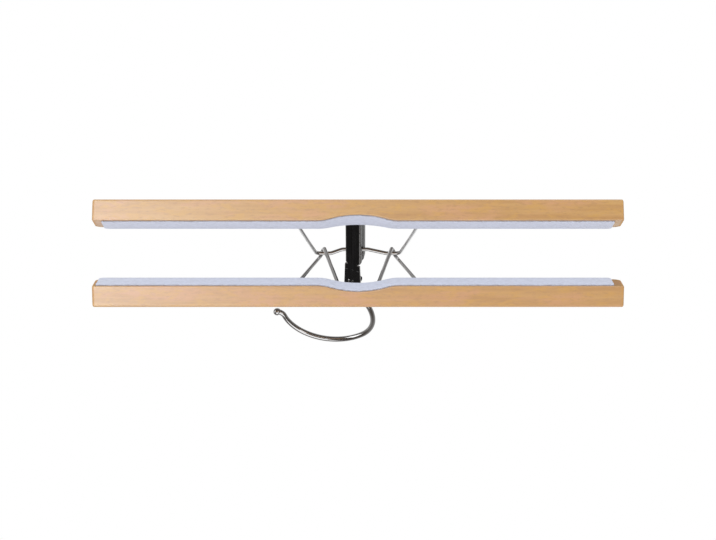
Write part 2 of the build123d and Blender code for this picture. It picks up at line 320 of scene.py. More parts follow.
# %% Beech
def beech_finish(name, warmth, seed):
    """A pale colour, drawn towards a deeper one, pink, gold and brown by one noise each, and by
    the rings: the sine of the distance to a line outside the bar, with a wander added. warmth
    scales the colours, and seed gives each bar its own noise."""
    f = Finish(name, specular_ior_level=0.3, coat_roughness=0.45)
    here = f.place(shift=(seed, seed * 0.37, seed * 0.11))
    streaks = f.noise(f.place((11, 260, 260), shift=(seed, 0, 0)), 1.0, 6.0, 0.62, 0.25)
    clouds = f.noise(f.place((22, 90, 90), shift=(seed * 2, 0, 0)), 1.0, 4.0, 0.6)
    patches = f.noise(f.place((75, 230, 230), shift=(seed * 3, 0, 0)), 1.0, 3.0, 0.6, 0.4)
    flecks = f.noise(f.place((210, 700, 700), shift=(seed * 4, 0, 0)), 1.0, 2.0, 0.6)
    wander = f.noise(f.place((4, 30, 30)), 1.0, 2.0)
    across, up = f.part(here, 1), f.part(here, 2)
    ring = ((across + 0.19) * (across + 0.19) + (up + 0.02) * (up + 0.02)).root() * 2600 + wander * 9
    rings = ring.sine() * 0.5 + 0.5
    rays = f.noise(f.place((420, 3600, 3600), shift=(seed, 0, 0)), 1.0, 2.0, 0.5).ramp(0.60, 0.70)
    from_middle = abs(f.part(f.place(shift=(-hinge[0] * MM, 0, 0)), 0))
    ends, dull = from_middle.ramp(0.1742, 0.1749), from_middle.ramp(0.1730, 0.1745)
    pale = (0.63 * warmth[0], 0.355 * warmth[1], 0.116 * warmth[2], 1)
    deep = (0.54 * warmth[0], 0.275 * warmth[1], 0.080 * warmth[2], 1)
    pink = (0.65 * warmth[0], 0.330 * warmth[1], 0.154 * warmth[2], 1)
    gold = (0.64 * warmth[0], 0.345 * warmth[1], 0.072 * warmth[2], 1)
    grain = f.mix(streaks.ramp(0.34, 0.68), pale, deep)
    grain = f.mix(clouds.ramp(0.46, 0.64) * 0.75, grain, pink)
    grain = f.mix(patches.ramp(0.47, 0.62) * 0.65, grain, gold)
    grain = f.mix(flecks.ramp(0.52, 0.70) * 0.45, grain, (0.47, 0.235, 0.085, 1))
    grain = f.mix(rings * 0.16, grain, deep)
    grain = f.mix(rays * 0.30, grain, (0.40, 0.21, 0.10, 1))
    grain = f.mix(ends * 0.45, grain, (0.42, 0.235, 0.115, 1))
    worn = f.attribute("edge")
    grain = f.mix(worn * 0.25, grain, (0.84, 0.62, 0.40, 1))
    rough = streaks * 0.16 + rays * 0.12 + worn * 0.06 + dull * 0.3 + 0.30
    height = streaks * 0.5 - rays * 0.55 + rings * 0.12
    return f.feed(base_color=grain, roughness=rough, coat_weight=1 - dull * 0.85,
                  normal=f.bump(height, 0.00006, 0.6))


beech_front = beech_finish("beech front", (1.0, 1.0, 1.0), 0.31)
beech_rear = beech_finish("beech rear", (0.97, 0.94, 0.90), 1.73)
print("beech nodes:", len(beech_front.node_tree.nodes))

# %% [markdown]
# ## Felt
# The linings are pressed wool felt in a pale lavender grey. Felt has no weave: it is a mat of
# fibres in all directions, with soft clumps and a few darker and lighter hairs. Real hairs could
# be grown on the strips, but from this distance noise that tints and raises the surface does.

# %% Felt
def felt_finish(name, tint, seed):
    """The tint, darker in soft clumps and lighter where two crossing sets of strands stand up,
    with a few dark hairs. Strands and clumps raise the surface too."""
    f = Finish(name, sheen_weight=0.35, sheen_roughness=0.55, specular_ior_level=0.18)
    clumps = f.noise(f.place((420, 420, 420), shift=(seed, 0, 0)), 1.0, 4.0, 0.6)
    strands = f.noise(f.place((900, 4200, 4200), turn=(0.3, 0.5, 0.4)), 1.0, 3.0, 0.6, 0.8)
    crossing = f.noise(f.place((4200, 900, 4200), turn=(0.2, 0.1, 0.9)), 1.0, 3.0, 0.6, 0.8)
    mat = strands * 0.5 + crossing * 0.5
    hairs = f.noise(f.place((700, 7000, 7000), turn=(0.1, 0.9, 0.6)), 1.0, 1.0).ramp(0.70, 0.78)
    base = f.mix(clumps.ramp(0.35, 0.68), tint, tuple(0.86 * c for c in tint[:3]) + (1,))
    base = f.mix(mat.ramp(0.38, 0.62) * 0.35, base, (0.70, 0.73, 0.85, 1))
    base = f.mix(hairs * 0.35, base, (0.34, 0.35, 0.42, 1))
    height = mat * 0.7 + clumps * 0.5
    return f.feed(base_color=base, roughness=mat * 0.1 + 0.88, normal=f.bump(height, 0.00022, 0.8))


felt_front = felt_finish("lining front", (0.62, 0.64, 0.76, 1), 0.2)
felt_rear = felt_finish("lining rear", (0.66, 0.70, 0.84, 1), 1.1)
print("felt nodes:", len(felt_front.node_tree.nodes))

# %% [markdown]
# ## Bright wire, black sheet and fittings
# The wires and the hook are drawn steel with bright plating. Its look is nearly all reflection,
# so the finish only varies the gloss: faint drawing lines, handling haze and a few tiny pits. The
# latch is glossy black enamel that has thinned on its edges. Washer and collar were turned.

# %% Bright wire
def wire_finish(name):
    """Pale metal, dulled by a cloudy haze and by lines along the wire, with dark sunken pits."""
    f = Finish(name, metallic=1.0, specular_ior_level=0.5)
    haze = f.noise(f.place((60, 60, 60)), 1.0, 4.0, 0.6)
    lines = f.noise(f.place((40, 9000, 1), source="UV"), 1.0, 2.0)
    pits = f.noise(f.place((2600, 2600, 2600)), 1.0, 1.0).ramp(0.74, 0.80)
    tone = f.mix(haze.ramp(0.35, 0.7), (0.90, 0.90, 0.905, 1), (0.82, 0.825, 0.835, 1))
    tone = f.mix(pits * 0.6, tone, (0.40, 0.38, 0.36, 1))
    rough = haze * 0.06 + lines * 0.05 + pits * 0.25 + 0.045
    return f.feed(base_color=tone, roughness=rough, normal=f.bump(lines * 0.4 - pits, 0.000004, 0.5))


bright_wire = wire_finish("bright wire")


# %% Black sheet
def enamel_finish(name):
    """Near black, a little lighter in the dust and in streaks along the flat blank, whose map it
    reads. Bare steel shows in patches on the edges, which the mesh marks. A stripe of bare steel
    along each of the arm's two folds is a painted highlight, put where the folds catch the light.
    A pale scratch crosses the tongue."""
    f = Finish(name, coat_weight=0.25, coat_roughness=0.07, specular_ior_level=0.22)
    blank = f.place(source="UV")
    across, along = abs(f.part(blank, 0)), f.part(blank, 1)
    peel = f.noise(f.place((700, 700, 700)), 1.0, 2.0)
    dust = f.noise(f.place((160, 160, 160)), 1.0, 5.0, 0.6)
    streaks = f.noise(f.place((1500, 26, 1), source="UV"), 1.0, 3.0, 0.6)
    worn = f.attribute("edge")
    patch = f.noise(f.place((900, 900, 900)), 1.0, 3.0)
    # Painted highlight: a stripe of bare steel along each fold of the arm, broken up by noise, where the
    # folds catch the light.
    painted_fold_highlight = (1 - abs(across - 0.0053).ramp(0.0002, 0.0007)) * (0.0094 - along).ramp(0, 0.0008)
    painted_fold_highlight = painted_fold_highlight * (streaks * 0.5 + patch * 0.5).ramp(0.36, 0.50)
    bare_steel_and_fold_highlight = (worn * 1.3 + patch * 0.9 - 0.95).ramp(0.25, 0.55)
    wobble = f.noise(f.place((180, 180, 180))) * 0.0012
    scratch = 1 - abs(along - 0.0155 - wobble).ramp(0.0001, 0.0004)
    scratch = scratch * f.noise(f.place((500, 90, 90), source="UV")).ramp(0.45, 0.6)
    tone = f.mix(dust.ramp(0.45, 0.8), (0.003, 0.003, 0.0033, 1), (0.008, 0.0078, 0.0078, 1))
    tone = f.mix(streaks.ramp(0.50, 0.72) * 0.5, tone, (0.022, 0.022, 0.023, 1))
    tone = f.mix(scratch * 0.5, tone, (0.16, 0.16, 0.16, 1))
    # Real edge wear and the painted fold highlight, joined into one mask of bare steel.
    bare_steel_and_fold_highlight = 1 - (1 - bare_steel_and_fold_highlight) * (1 - painted_fold_highlight * 0.85)
    tone = f.mix(bare_steel_and_fold_highlight * 0.8, tone, (0.62, 0.61, 0.60, 1))
    height = peel * 0.3 + streaks * 0.25
    return f.feed(base_color=tone, roughness=dust * 0.12 + bare_steel_and_fold_highlight * 0.15 + 0.20, metallic=bare_steel_and_fold_highlight * 0.85,
                  normal=f.bump(height, 0.00008, 1.0))


black_sheet = enamel_finish("black sheet")


# %% Turned fittings
def turned_finish(name):
    """Steel with fine turned lines and a cloudy stain that darkens and dulls it."""
    f = Finish(name, metallic=1.0)
    rings = f.noise(f.place((6000, 30, 1), source="UV"), 1.0, 2.0)
    stain = f.noise(f.place((500, 500, 500)), 1.0, 4.0)
    tone = f.mix(stain.ramp(0.4, 0.7), (0.74, 0.73, 0.71, 1), (0.56, 0.55, 0.53, 1))
    return f.feed(base_color=tone, roughness=rings * 0.18 + stain * 0.1 + 0.16,
                  normal=f.bump(rings, 0.000006, 0.6))


turned_steel = turned_finish("turned steel")
print("finishes made:", len(bpy.data.materials))

# %% [markdown]
# ## The bars
# A bar is a rounded box with a shallow hollow in the middle of its inner face. It could be a cube
# with a Bevel, but the hollow and the large upper corners of the ends are easier to say as a
# section: at each place along the bar, four limits (inner, outer, top, bottom) and four corner
# radii. The limits pull in near the ends along arcs, which rounds the ends.

# %% The hollow in the inner face
relief_half, relief_turn, relief_slope = 27.0, 19.0, math.radians(16.5)
shoulder_radius = (relief_half - relief_turn) / math.sin(relief_slope)
hollow_radius = relief_turn / math.sin(relief_slope)
turn_depth = shoulder_radius * (1 - math.cos(relief_slope))
relief_depth = turn_depth + hollow_radius * (1 - math.cos(relief_slope))


def hollow(x):
    """How deep the inner face lies at x: nothing outside, a convex arc, then a hollow arc."""
    a = np.abs(x)
    turn_run = relief_half - relief_turn + 0.01
    run = shoulder_radius - np.sqrt(shoulder_radius**2 - np.clip(relief_half - a, 0, turn_run)**2)
    bowl = relief_depth - hollow_radius + np.sqrt(np.clip(hollow_radius**2 - a**2, 0, None))
    return np.where(a > relief_half, 0, np.where(a > relief_turn, run, bowl))


print("hollow is", round(relief_depth, 2), "mm deep")

# %% A section with rounded corners, carried along X
def rounding(x, half, radius):
    """How far a limit pulls in near an end: radius less the height of a circle of that radius."""
    near = np.clip(np.abs(x) - (half - radius), 0, radius)
    return radius - np.sqrt(radius**2 - near**2)


def corner_steps(count):
    """Shares of one corner's turn, from 0 to 1, with one just before it and one just after it."""
    return np.concatenate([[-0.12], np.linspace(0, 1, count), [1.12]])


def box_section(inner, outer, low, top, radii, count=9):
    """One closed ring of (y, z) for each station. inner, outer, low and top are arrays with one
    number a station. Each corner is an arc of its radius, with a point just before and after it
    that keeps the flat sides flat to the eye. The third array is 1 in the middle of a corner and
    0 on the flat sides, and tells the finish where wear shows."""
    ring_y, ring_z, edge = [], [], []
    corners = [(inner, low, -1, 1, 3), (inner, top, -1, -1, 0),
               (outer, top, 1, -1, 1), (outer, low, 1, 1, 2)]
    for (side, end, sy, sz, quarter), radius in zip(corners, radii):
        steps = corner_steps(count)
        angle = (np.clip(steps, 0, 1) + quarter) * math.pi / 2
        out = np.clip(np.abs(steps - 0.5) - 0.5, 0, None) * 3
        along = np.where(steps < 0, out, -out)
        cy = side[:, None] + sy * radius
        cz = end[:, None] + sz * radius
        dy, dz = np.cos(angle), np.sin(angle)
        ring_y.append(cy + radius * dy + along * dz)
        ring_z.append(cz + radius * dz - along * dy)
        worn = np.where(out > 0, 0.0, np.sin(np.clip(steps, 0, 1) * math.pi))
        edge.append(np.tile(worn, (len(side), 1)))
    return np.concatenate(ring_y, 1), np.concatenate(ring_z, 1), np.concatenate(edge, 1)


def stations(half, radii, step, breaks=()):
    """Places along X: even steps, plus close ones where an arc of an end or a break needs them."""
    turns = [half - r + r * np.sin(np.linspace(0, math.pi / 2, 14)) for r in radii]
    places = np.concatenate([np.arange(0, half - 6, step), *turns, np.asarray(breaks, float)])
    places = np.unique(np.round(places[places <= half], 3))
    return np.concatenate([-places[::-1], places[places > 0]])


def drawn_in(local, centres, share):
    """The grid with its first and last rings once more, drawn in towards their centres."""
    first = centres[:1, None] + (local[:1] - centres[:1, None]) * share
    last = centres[1:, None] + (local[-1:] - centres[1:, None]) * share
    return np.concatenate([first, local, last])


# %% The two bars
bar_half, bar_low, bar_top = 175.0, -100.0, -78.0
wood_face, back_face = -1.35, -15.55
top_corner, back_corner, low_corner, face_corner = 5.5, 1.3, 1.2, 0.5
bar_radii, bar_step, worn_rim = (0.6, 0.5, 1.3, 1.3), 1.5, 1.0
turn_begins, turn_stops = 15.0, 30.0
for side, jaw in jaws.items():
    x = stations(bar_half, (top_corner, back_corner, low_corner), bar_step,
                 np.arange(turn_begins, turn_stops, bar_step / 3))
    y, z, edge = box_section(wood_face - hollow(x) - rounding(x, bar_half, face_corner),
                             back_face + rounding(x, bar_half, back_corner),
                             bar_low + rounding(x, bar_half, low_corner),
                             bar_top - rounding(x, bar_half, top_corner), bar_radii)
    local = np.stack([np.repeat(x[:, None], y.shape[1], 1), y, z], -1)
    rim = np.clip((np.abs(x) - bar_half + worn_rim), 0, 1)[:, None]
    edge = np.maximum(edge, rim * np.ones_like(edge) * (np.abs(x) < bar_half)[:, None])
    centres = local[[0, -1]].mean(1)
    for share in (0.9, 0.5):
        local = drawn_in(local, centres, share)
        edge = np.concatenate([edge[:1] * 0, edge, edge[:1] * 0])
    bar = make_piece(side + "_bar_wood", jaw.out(local), flip=True, shares={"edge": edge},
                     caps=(jaw.out(centres[0]), jaw.out(centres[1])))
    settle(bar, side + "_jaw", "beech", beech_front if side == "front" else beech_rear, side + "_bar")

# %% [markdown]
# ## The felt linings
# Felt is a sheet 1.2 mm thick, glued on, so it follows the hollow. It bridges the hollow a little
# at its upper edge, where nothing presses it in. The strips were cut and laid by hand: the rear
# one is a little longer and sits off the middle. A plane with a Solidify could be laid on the bar,
# but the section that made the bars makes a strip that fits them, and seeded noise moves its
# points: waves on the cut edges and a fine grain on the corners.

# %% Noise along a strip
def waves(x, lengths, seed):
    """A sum of sines with the given wavelengths and seeded phases, between about -1 and 1."""
    rng = np.random.default_rng(seed)
    phases = rng.uniform(0, 2 * math.pi, len(lengths))
    weights = np.array(lengths) ** 0.5
    total = sum(w * np.sin(2 * math.pi * x / l + p) for w, l, p in zip(weights, lengths, phases))
    return total / weights.sum()


# %% The two linings
felt_low, felt_top, felt_face = -98.3, -78.5, -0.15
felt_corner, felt_low_corner, felt_cut_corner = 3.0, 0.8, 0.3
felt_radii, felt_step = (0.42, 0.42, 0.2, 0.2), 0.7
felt_halves, felt_slides, felt_bridges = (169.0, 170.6), (0.0, 2.0), (0.30, 0.10)
wave_lengths, low_waves, top_waves, grain_height = (57, 23, 11, 6.1, 3.7, 2.3, 1.4), 0.16, 0.12, 0.035
for number, (side, jaw) in enumerate(jaws.items()):
    felt_half, slide = felt_halves[number], felt_slides[number]
    x = stations(felt_half, (felt_corner, 0.45), felt_step,
                 np.arange(turn_begins, turn_stops, felt_step / 2))
    low_wave = low_waves * waves(x, wave_lengths, 3 + number)
    top_wave = top_waves * waves(x, wave_lengths, 8 + number)
    depth = hollow(x + slide)
    y, z, edge = box_section(felt_face - depth - rounding(x, felt_half, felt_cut_corner),
                             wood_face - depth,
                             felt_low + rounding(x, felt_half, felt_low_corner) + low_wave,
                             felt_top - rounding(x, felt_half, felt_corner) + top_wave, felt_radii, 7)
    local = np.stack([np.repeat(x[:, None] + slide, y.shape[1], 1), y, z], -1)
    grain = np.random.default_rng(20 + number).normal(0, 1, local.shape[:2])
    local[..., 2] += grain_height * grain * (edge > 0)
    height = np.clip((local[..., 2] - felt_low) / (felt_top - felt_low), 0, 1)
    local[..., 1] += felt_bridges[number] * depth[:, None] * height**2
    centres = local[[0, -1]].mean(1)
    local = drawn_in(local, centres, 0.6)
    felt = make_piece(side + "_felt_strip", jaw.out(local), flip=True,
                      caps=(jaw.out(centres[0]), jaw.out(centres[1])))
    settle(felt, side + "_jaw", "lining", felt_front if side == "front" else felt_rear, side + "_felt")

# %% [markdown]
# ## Bent wires
# A wire former draws a route of straight runs and rounds each corner by its bending pin. The
# same is done here: corners with a bend radius each, then a round section carried along. A
# curve object with a bevel could do it too, but a grid keeps the wire's length on its UV map,
# which the drawing lines follow.

# %% A route with rounded corners
def bent_route(corners, bends, steps=14, spacing=4.0):
    """Straight runs between the corners, each corner replaced by an arc of its own radius that
    touches both runs. The arc turns the way in into the way out, both unit vectors, by the angle
    between them."""
    corners = np.asarray(corners, float)
    ways = unit(np.diff(corners, axis=0))
    turn = np.arccos(np.clip((ways[:-1] * ways[1:]).sum(1), -1, 1))
    cut = np.asarray(bends) * np.tan(turn / 2)
    starts, ends = corners[1:-1] - ways[:-1] * cut[:, None], corners[1:-1] + ways[1:] * cut[:, None]
    inward = unit(ways[1:] - ways[:-1] * np.cos(turn)[:, None])
    share = np.linspace(0, 1, steps)[None, :, None] * turn[:, None, None]
    radius = np.asarray(bends)[:, None, None]
    sweep = np.sin(share) * ways[:-1, None] + (1 - np.cos(share)) * inward[:, None]
    arcs = starts[:, None] + radius * sweep
    heads, tails = np.vstack([corners[:1], ends]), np.vstack([starts, corners[-1:]])
    runs = [h + (t - h) * np.linspace(0, 1, max(2, int(np.linalg.norm(t - h) / spacing)))[1:-1, None]
            for h, t in zip(heads, tails)]
    parts = [corners[:1]]
    for n, run in enumerate(runs):
        parts += [run, arcs[n]] if n < len(arcs) else [run]
    return np.vstack(parts + [corners[-1:]])


def steady_reference(ways):
    """The direction that no part of the route comes near to following: the best of an even
    spread of directions, so that the section doesn't twist."""
    n = np.arange(400) + 0.5
    height, angle = 1 - 2 * n / 400, n * math.pi * (1 + 5**0.5)
    flat = np.sqrt(1 - height**2)
    spread = np.stack([flat * np.cos(angle), flat * np.sin(angle), height], -1)
    return spread[np.argmin(np.abs(spread @ ways.T).max(1))]


def tube(route, radii, sides=36, reference=None):
    """A circle of the given radius at every point of the route, square to the way there."""
    ways = unit(np.gradient(route, axis=0))
    reference = steady_reference(ways) if reference is None else reference
    across = unit(np.cross(ways, reference))
    upward = np.cross(across, ways)
    angle = np.linspace(0, 2 * math.pi, sides, endpoint=False)
    c, s = np.cos(angle)[None, :, None], np.sin(angle)[None, :, None]
    ring = c * across[:, None] + s * upward[:, None]
    return route[:, None] + np.broadcast_to(radii, len(route))[:, None, None] * ring


def wire_length(route):
    """The sum of the distances from each point of a route to the next."""
    return round(float(np.linalg.norm(np.diff(route, axis=0), axis=1).sum()), 1)


# %% The front wire: two legs and a bowed cross bar
wire_radius, leg_spread, leg_foot, socket = 1.35, 43.5, -74.0, -91.0
wire_line = (wood_face + back_face) / 2
cross_half, bow_depth, latch_shift = 29.6, 2.8, -2.1
bow_left, bow_half, bow_right = 17.0, 9.0, 22.0
foot_bend, top_bend, bow_bend = 9.0, 4.0, 7.0
bow_y, bow_z = -bow_depth * math.cos(opening), -bow_depth * math.sin(opening)
front_corners = np.array([
    (-leg_spread, wire_line, socket), (-leg_spread, wire_line, leg_foot), (-cross_half, 0, 0),
    (latch_shift - bow_left, 0, 0), (latch_shift - bow_half, bow_y, bow_z),
    (latch_shift + bow_half, bow_y, bow_z), (latch_shift + bow_right, 0, 0), (cross_half, 0, 0),
    (leg_spread, wire_line, leg_foot), (leg_spread, wire_line, socket)])
front_bends = (foot_bend, top_bend, *[bow_bend] * 4, top_bend, foot_bend)
front_route = bent_route(jaws["front"].out(front_corners), front_bends)
front_wire = make_piece("front_frame_wire", tube(front_route, wire_radius),
                        caps=(front_route[0], front_route[-1]))
settle(front_wire, "front_jaw", "bright_wire", bright_wire, "front_frame")
print("front wire is", wire_length(front_route), "mm long")

# %% The rear wire: bent like an M, its peaks hooked over the cross bar
link, rest_gap = 3.05, 0.05
peak_outer, peak_inner, valley_half, valley_bend = 26.6, 24.0, 12.2, 4.5
valley = bar_top + wire_radius + rest_gap
tilt = (link - wire_line) / (link - valley)
strand = link * (math.sqrt(1 + tilt**2) + tilt)
rear_half = [(-leg_spread, wire_line, socket), (-leg_spread, wire_line, leg_foot),
             (-peak_outer, -link, link), (-peak_inner, strand, link), (-valley_half, wire_line, valley)]
rear_corners = np.array(rear_half + [(-a, b, c) for a, b, c in reversed(rear_half)])
rear_bends = (foot_bend, link, link, valley_bend, valley_bend, link, link, foot_bend)
rear_route = bent_route(jaws["rear"].out(rear_corners), rear_bends)
rear_wire = make_piece("rear_frame_wire", tube(rear_route, wire_radius),
                       caps=(rear_route[0], rear_route[-1]))
settle(rear_wire, "rear_jaw", "bright_wire", bright_wire, "rear_frame")
print("rear wire is", wire_length(rear_route), "mm long")

# %% [markdown]
# ## The hook
# One round wire again: a straight stem, a swan neck, a bowl made of arcs that each take over
# where the last one stops, and a ball at the tip. The stem's foot is riveted into a low dome. A
# sphere and a curve could be joined, but that leaves a seam. All of it is one tube instead, whose
# radius changes: the dome and the ball are places where it swells.

# %% Arcs that carry on from each other
def tangent_arcs(start, way, ends, spacing):
    """From start, heading along way, an arc to each end in turn. The chord to an end makes an
    angle with the heading, the arc turns by twice that, and the heading is turned as much."""
    points = [np.asarray(start, float)[None]]
    for end in np.asarray(ends, float):
        chord = end - points[-1][-1]
        length = np.hypot(*chord)
        angle = math.atan2(way[0] * chord[1] - way[1] * chord[0], way @ chord)
        share = np.linspace(0, 1, max(6, int(length / spacing)))[1:, None] * angle
        c, s = np.cos(share), np.sin(share)
        heading = np.hstack([c * way[0] - s * way[1], s * way[0] + c * way[1]])
        points.append(points[-1][-1] + heading * np.sin(share) * length / math.sin(angle))
        c, s = math.cos(2 * angle), math.sin(2 * angle)
        way = np.array([c * way[0] - s * way[1], s * way[0] + c * way[1]])
    return np.vstack(points), way


# %% The hook's wire
hook_radius, ball_radius, bowl_radius = 2.0, 2.8, 34.0
head_low, head_top, neck_begin = 29.4, 31.0, 39.0
shares = np.array([(0.135, 1.482), (0.388, 2.103), (0.159, 2.615), (-0.641, 2.944), (-1.144, 2.850),
                   (-1.476, 2.585), (-1.574, 2.410), (-1.735, 2.325)])
bend, heading = tangent_arcs((0, neck_begin), np.array([0.0, 1.0]), shares * bowl_radius, 0.9)
dome = np.array([(0.9, 0.02), (1.7, 0.1), (2.4, 0.3), (2.85, 0.6), (3.08, 0.95), (3.1, 1.2), (3.02, 1.45),
                 (2.8, 1.58), (2.05, 1.6)])
stem_heights = np.linspace(head_top + 0.02, neck_begin, 18)[:-1]
turns = np.radians(np.linspace(-44, 86, 20))
ball_along = ball_radius * np.sin(turns)
walk = np.concatenate([[0], np.cumsum(np.hypot(*np.diff(bend, axis=0).T))])
before = bend[walk < walk[-1] + ball_along[0] - 0.05]
ahead = np.stack([np.interp(walk[-1] + ball_along, walk, bend[:, k]) for k in (0, 1)], -1)
ahead += np.clip(ball_along, 0, None)[:, None] * heading
flat_route = np.vstack([np.stack([0 * dome[:, 1], head_low + dome[:, 1]], -1),
                        np.stack([0 * stem_heights, stem_heights], -1), before, ahead])
hook_radii = np.concatenate([dome[:, 0], np.full(len(stem_heights) + len(before), hook_radius),
                             np.maximum(ball_radius * np.cos(turns), 0.05)])
hook_route = hook_place.out(np.column_stack([flat_route, 0 * flat_route[:, 0]]))
hook_grid = tube(hook_route, hook_radii, 44, hook_place.axes[2])
ball_end = hook_place.out([*(bend[-1] + heading * ball_radius), 0])
hook = make_piece("hook_wire", hook_grid, caps=(hook_place.out([0, head_low, 0]), ball_end))
settle(hook, "hook_body", "bright_wire", bright_wire, "hook")
print("hook wire is", wire_length(hook_route), "mm long")

# %% [markdown]
# ## Washer and collar
# Both were turned on a lathe, so each is a closed outline spun round the stem. A Screw modifier
# could do the same, but the grid is already there and closes by itself.

# %% Spun rings
def spun(outline, sides=72):
    """A closed outline of (radius, height) turned right round the latch's length."""
    outline = np.asarray(outline, float)
    angle = np.linspace(0, 2 * math.pi, sides, endpoint=False)
    r, h = outline[:, 0][:, None], outline[:, 1][:, None]
    return latch_place.out(np.stack([r * np.cos(angle), r * np.sin(angle), h + 0 * angle], -1))


def eased(corners, ease):
    """A closed outline whose corners are cut back by ease along both sides, twice over."""
    points = np.asarray(corners, float)
    for share in (ease, ease * 0.45):
        ahead, behind = np.roll(points, -1, 0), np.roll(points, 1, 0)
        before, after = unit(behind - points) * share, unit(ahead - points) * share
        points = np.stack([points + before, points + after], 1).reshape(-1, 2)
    return points


# %% The washer under the foot and the collar above the ear
for name, node, bore, rim, low, high, ease in (
        ("washer_ring", "swivel_washer", 2.06, 3.7, 31.1, 31.9, 0.12),
        ("collar_ring", "stem_collar", 2.02, 3.3, 33.1, 36.1, 0.3)):
    outline = [(bore, low), (rim, low), (rim, high), (bore, high)]
    ring = make_piece(name, spun(eased(outline, ease)), wrap_rows=True, flip=True)
    settle(ring, "hook_body", "bright_fittings", turned_steel, node)

# %% [markdown]
# ## The latch
# The latch was stamped from 1 mm sheet and folded, so it is made that way here: first the flat
# blank, then the folds. The blank has an arm with a flange on each side, a tongue and an ear. Its
# outline is a signed distance, a number at every point of a fine grid that is negative inside.
# Points close to the outline are slid onto it and the cells outside are dropped. The folds are
# formulas on the blank's own coordinates: u runs across and v along, from the cross bar to the
# ear. A Solidify gives the sheet its thickness and a small Bevel breaks its edges.

# %% Signed distances
def box_distance(u, v, left, right, low, high, radius):
    """Distance to a box with rounded corners: outside it the length past the corner, inside it
    the nearer side, less the radius."""
    qu = np.abs(u - (left + right) / 2) - (right - left) / 2 + radius
    qv = np.abs(v - (low + high) / 2) - (high - low) / 2 + radius
    return np.hypot(np.maximum(qu, 0), np.maximum(qv, 0)) + np.minimum(np.maximum(qu, qv), 0) - radius


latch_half, web_middle, bend_middle, sheet = 5.6, 4.9, 1.4, 1.0
half_flat = latch_half - sheet / 2 - bend_middle
flange_top, flange_rim = web_middle - bend_middle, web_middle + sheet / 2 - 11.0
bend_length = bend_middle * math.pi / 2
blank_half = half_flat + bend_length + flange_top - flange_rim
ear_fold, ear_start = 0.9, 31.6
ear_straight = ear_start + ear_fold * math.pi / 2
ear_hole = ear_straight + web_middle - ear_fold
ear_end = ear_hole - flange_rim
slot_half = latch_half * math.tan(roll) + 0.15
slot_radius, hole_radius = 1.65, 2.06
arm_start, arm_end, step_at, tongue_start, tongue_end = -34.0, 9.5, 10.0, 10.6, 32.8
tongue_tip, tongue_run = 6.3, 23.0
ear_half, ear_slit, slit_start = 4.2, 0.5, 30.9
arm_corner, flange_corner, tongue_corner, ear_corner, sharp = 3.2, 2.6, 0.8, 2.6, 0.1
notch_middle, notch_near, notch_far, notch_low, notch_high, notch_corner = -1.2, 0.85, 1.95, 26.6, 30.2, 0.3
before_arm, in_tongue, past_ear = -60.0, 20.0, 40.0
print("blank is", round(2 * blank_half, 1), "mm across and", round(ear_end - arm_start, 1), "mm long")


def tongue_half(v):
    """The tongue widens evenly from the arm's width to 12.6 mm."""
    return latch_half + (tongue_tip - latch_half) * np.clip((v - step_at) / tongue_run, 0, 1)


def blank_distance(u, v):
    """Negative inside the blank: arm, neck, tongue and ear joined, which is the least of their
    distances, less the slits beside the ear, the stem's hole, two notches and the flanges' slots."""
    a, far = np.abs(u), 9.0
    arm = np.maximum(box_distance(a, v, -blank_half, blank_half, arm_start, in_tongue, arm_corner),
                     box_distance(a, v, -blank_half, blank_half, before_arm, arm_end, flange_corner))
    neck = box_distance(u, v, -half_flat, half_flat, 0, in_tongue, sharp)
    tongue = box_distance(a * latch_half / tongue_half(v), v, -latch_half, latch_half,
                          tongue_start, tongue_end, tongue_corner)
    ear = box_distance(u, v, -ear_half, ear_half, in_tongue, ear_end, ear_corner)
    solid = np.minimum(np.minimum(arm, neck), np.minimum(tongue, ear))
    slit = box_distance(a, v, ear_half, ear_half + ear_slit, slit_start, past_ear, sharp)
    slit = np.where(v > tongue_end + 0.4, far, slit)
    hole = np.hypot(u, v - ear_hole) - hole_radius
    notches = box_distance(np.abs(u - notch_middle), v, notch_near, notch_far, notch_low, notch_high,
                           notch_corner)
    past_bend = a - half_flat - bend_length
    on_bend = bend_middle * np.sin(np.clip(-past_bend / bend_middle, 0, 1.5))
    reach = flange_top + np.where(past_bend > 0, -past_bend, on_bend)
    slot = np.hypot(np.maximum(np.abs(reach) - slot_half, 0), v) - slot_radius
    slot = np.where(a > half_flat, slot, far)
    return np.maximum(solid, -np.minimum(np.minimum(slit, hole), np.minimum(notches, slot)))


# %% Folding the blank
wave_depth, wave_length = 0.13, 4.6
bead_half, bead_depth, bead_start, bead_end = 0.45, 0.28, -31.5, 28.1


def fold(u, v):
    """Across: flat, then a quarter turn of the middle radius, then straight down the flange, which
    waves in and out by a sine. Along: flat up to the ear, then a quarter turn and straight down
    the ear. A bead, a parabola across, is pressed along the middle."""
    a, sign = np.abs(u), np.sign(u)
    angle = np.clip((a - half_flat) / bend_middle, 0, math.pi / 2)
    x = np.minimum(a, half_flat) + bend_middle * np.sin(angle)
    down_flange = np.clip(a - half_flat - bend_length, 0, None)
    x = x + wave_depth * np.sin(down_flange * 2 * math.pi / wave_length)
    y = flange_top + bend_middle * np.cos(angle) - down_flange
    flat = v > step_at
    x, y, z = np.where(flat, a, x), np.where(flat, web_middle, y), v.copy()
    turn = np.clip((v - ear_start) / ear_fold, 0, math.pi / 2)
    ear = (v > ear_start) & (a < ear_half + ear_slit / 2)
    y = np.where(ear, web_middle - ear_fold * (1 - np.cos(turn)) - np.maximum(v - ear_straight, 0), y)
    z = np.where(ear, ear_start + ear_fold * np.sin(turn), z)
    bead = np.clip(1 - (u / bead_half) ** 2, 0, 1)
    bead = bead * np.clip((v - bead_start) * 2, 0, 1) * np.clip((bead_end - v) * 2, 0, 1)
    return np.stack([sign * x, y - bead_depth * bead, z], -1)


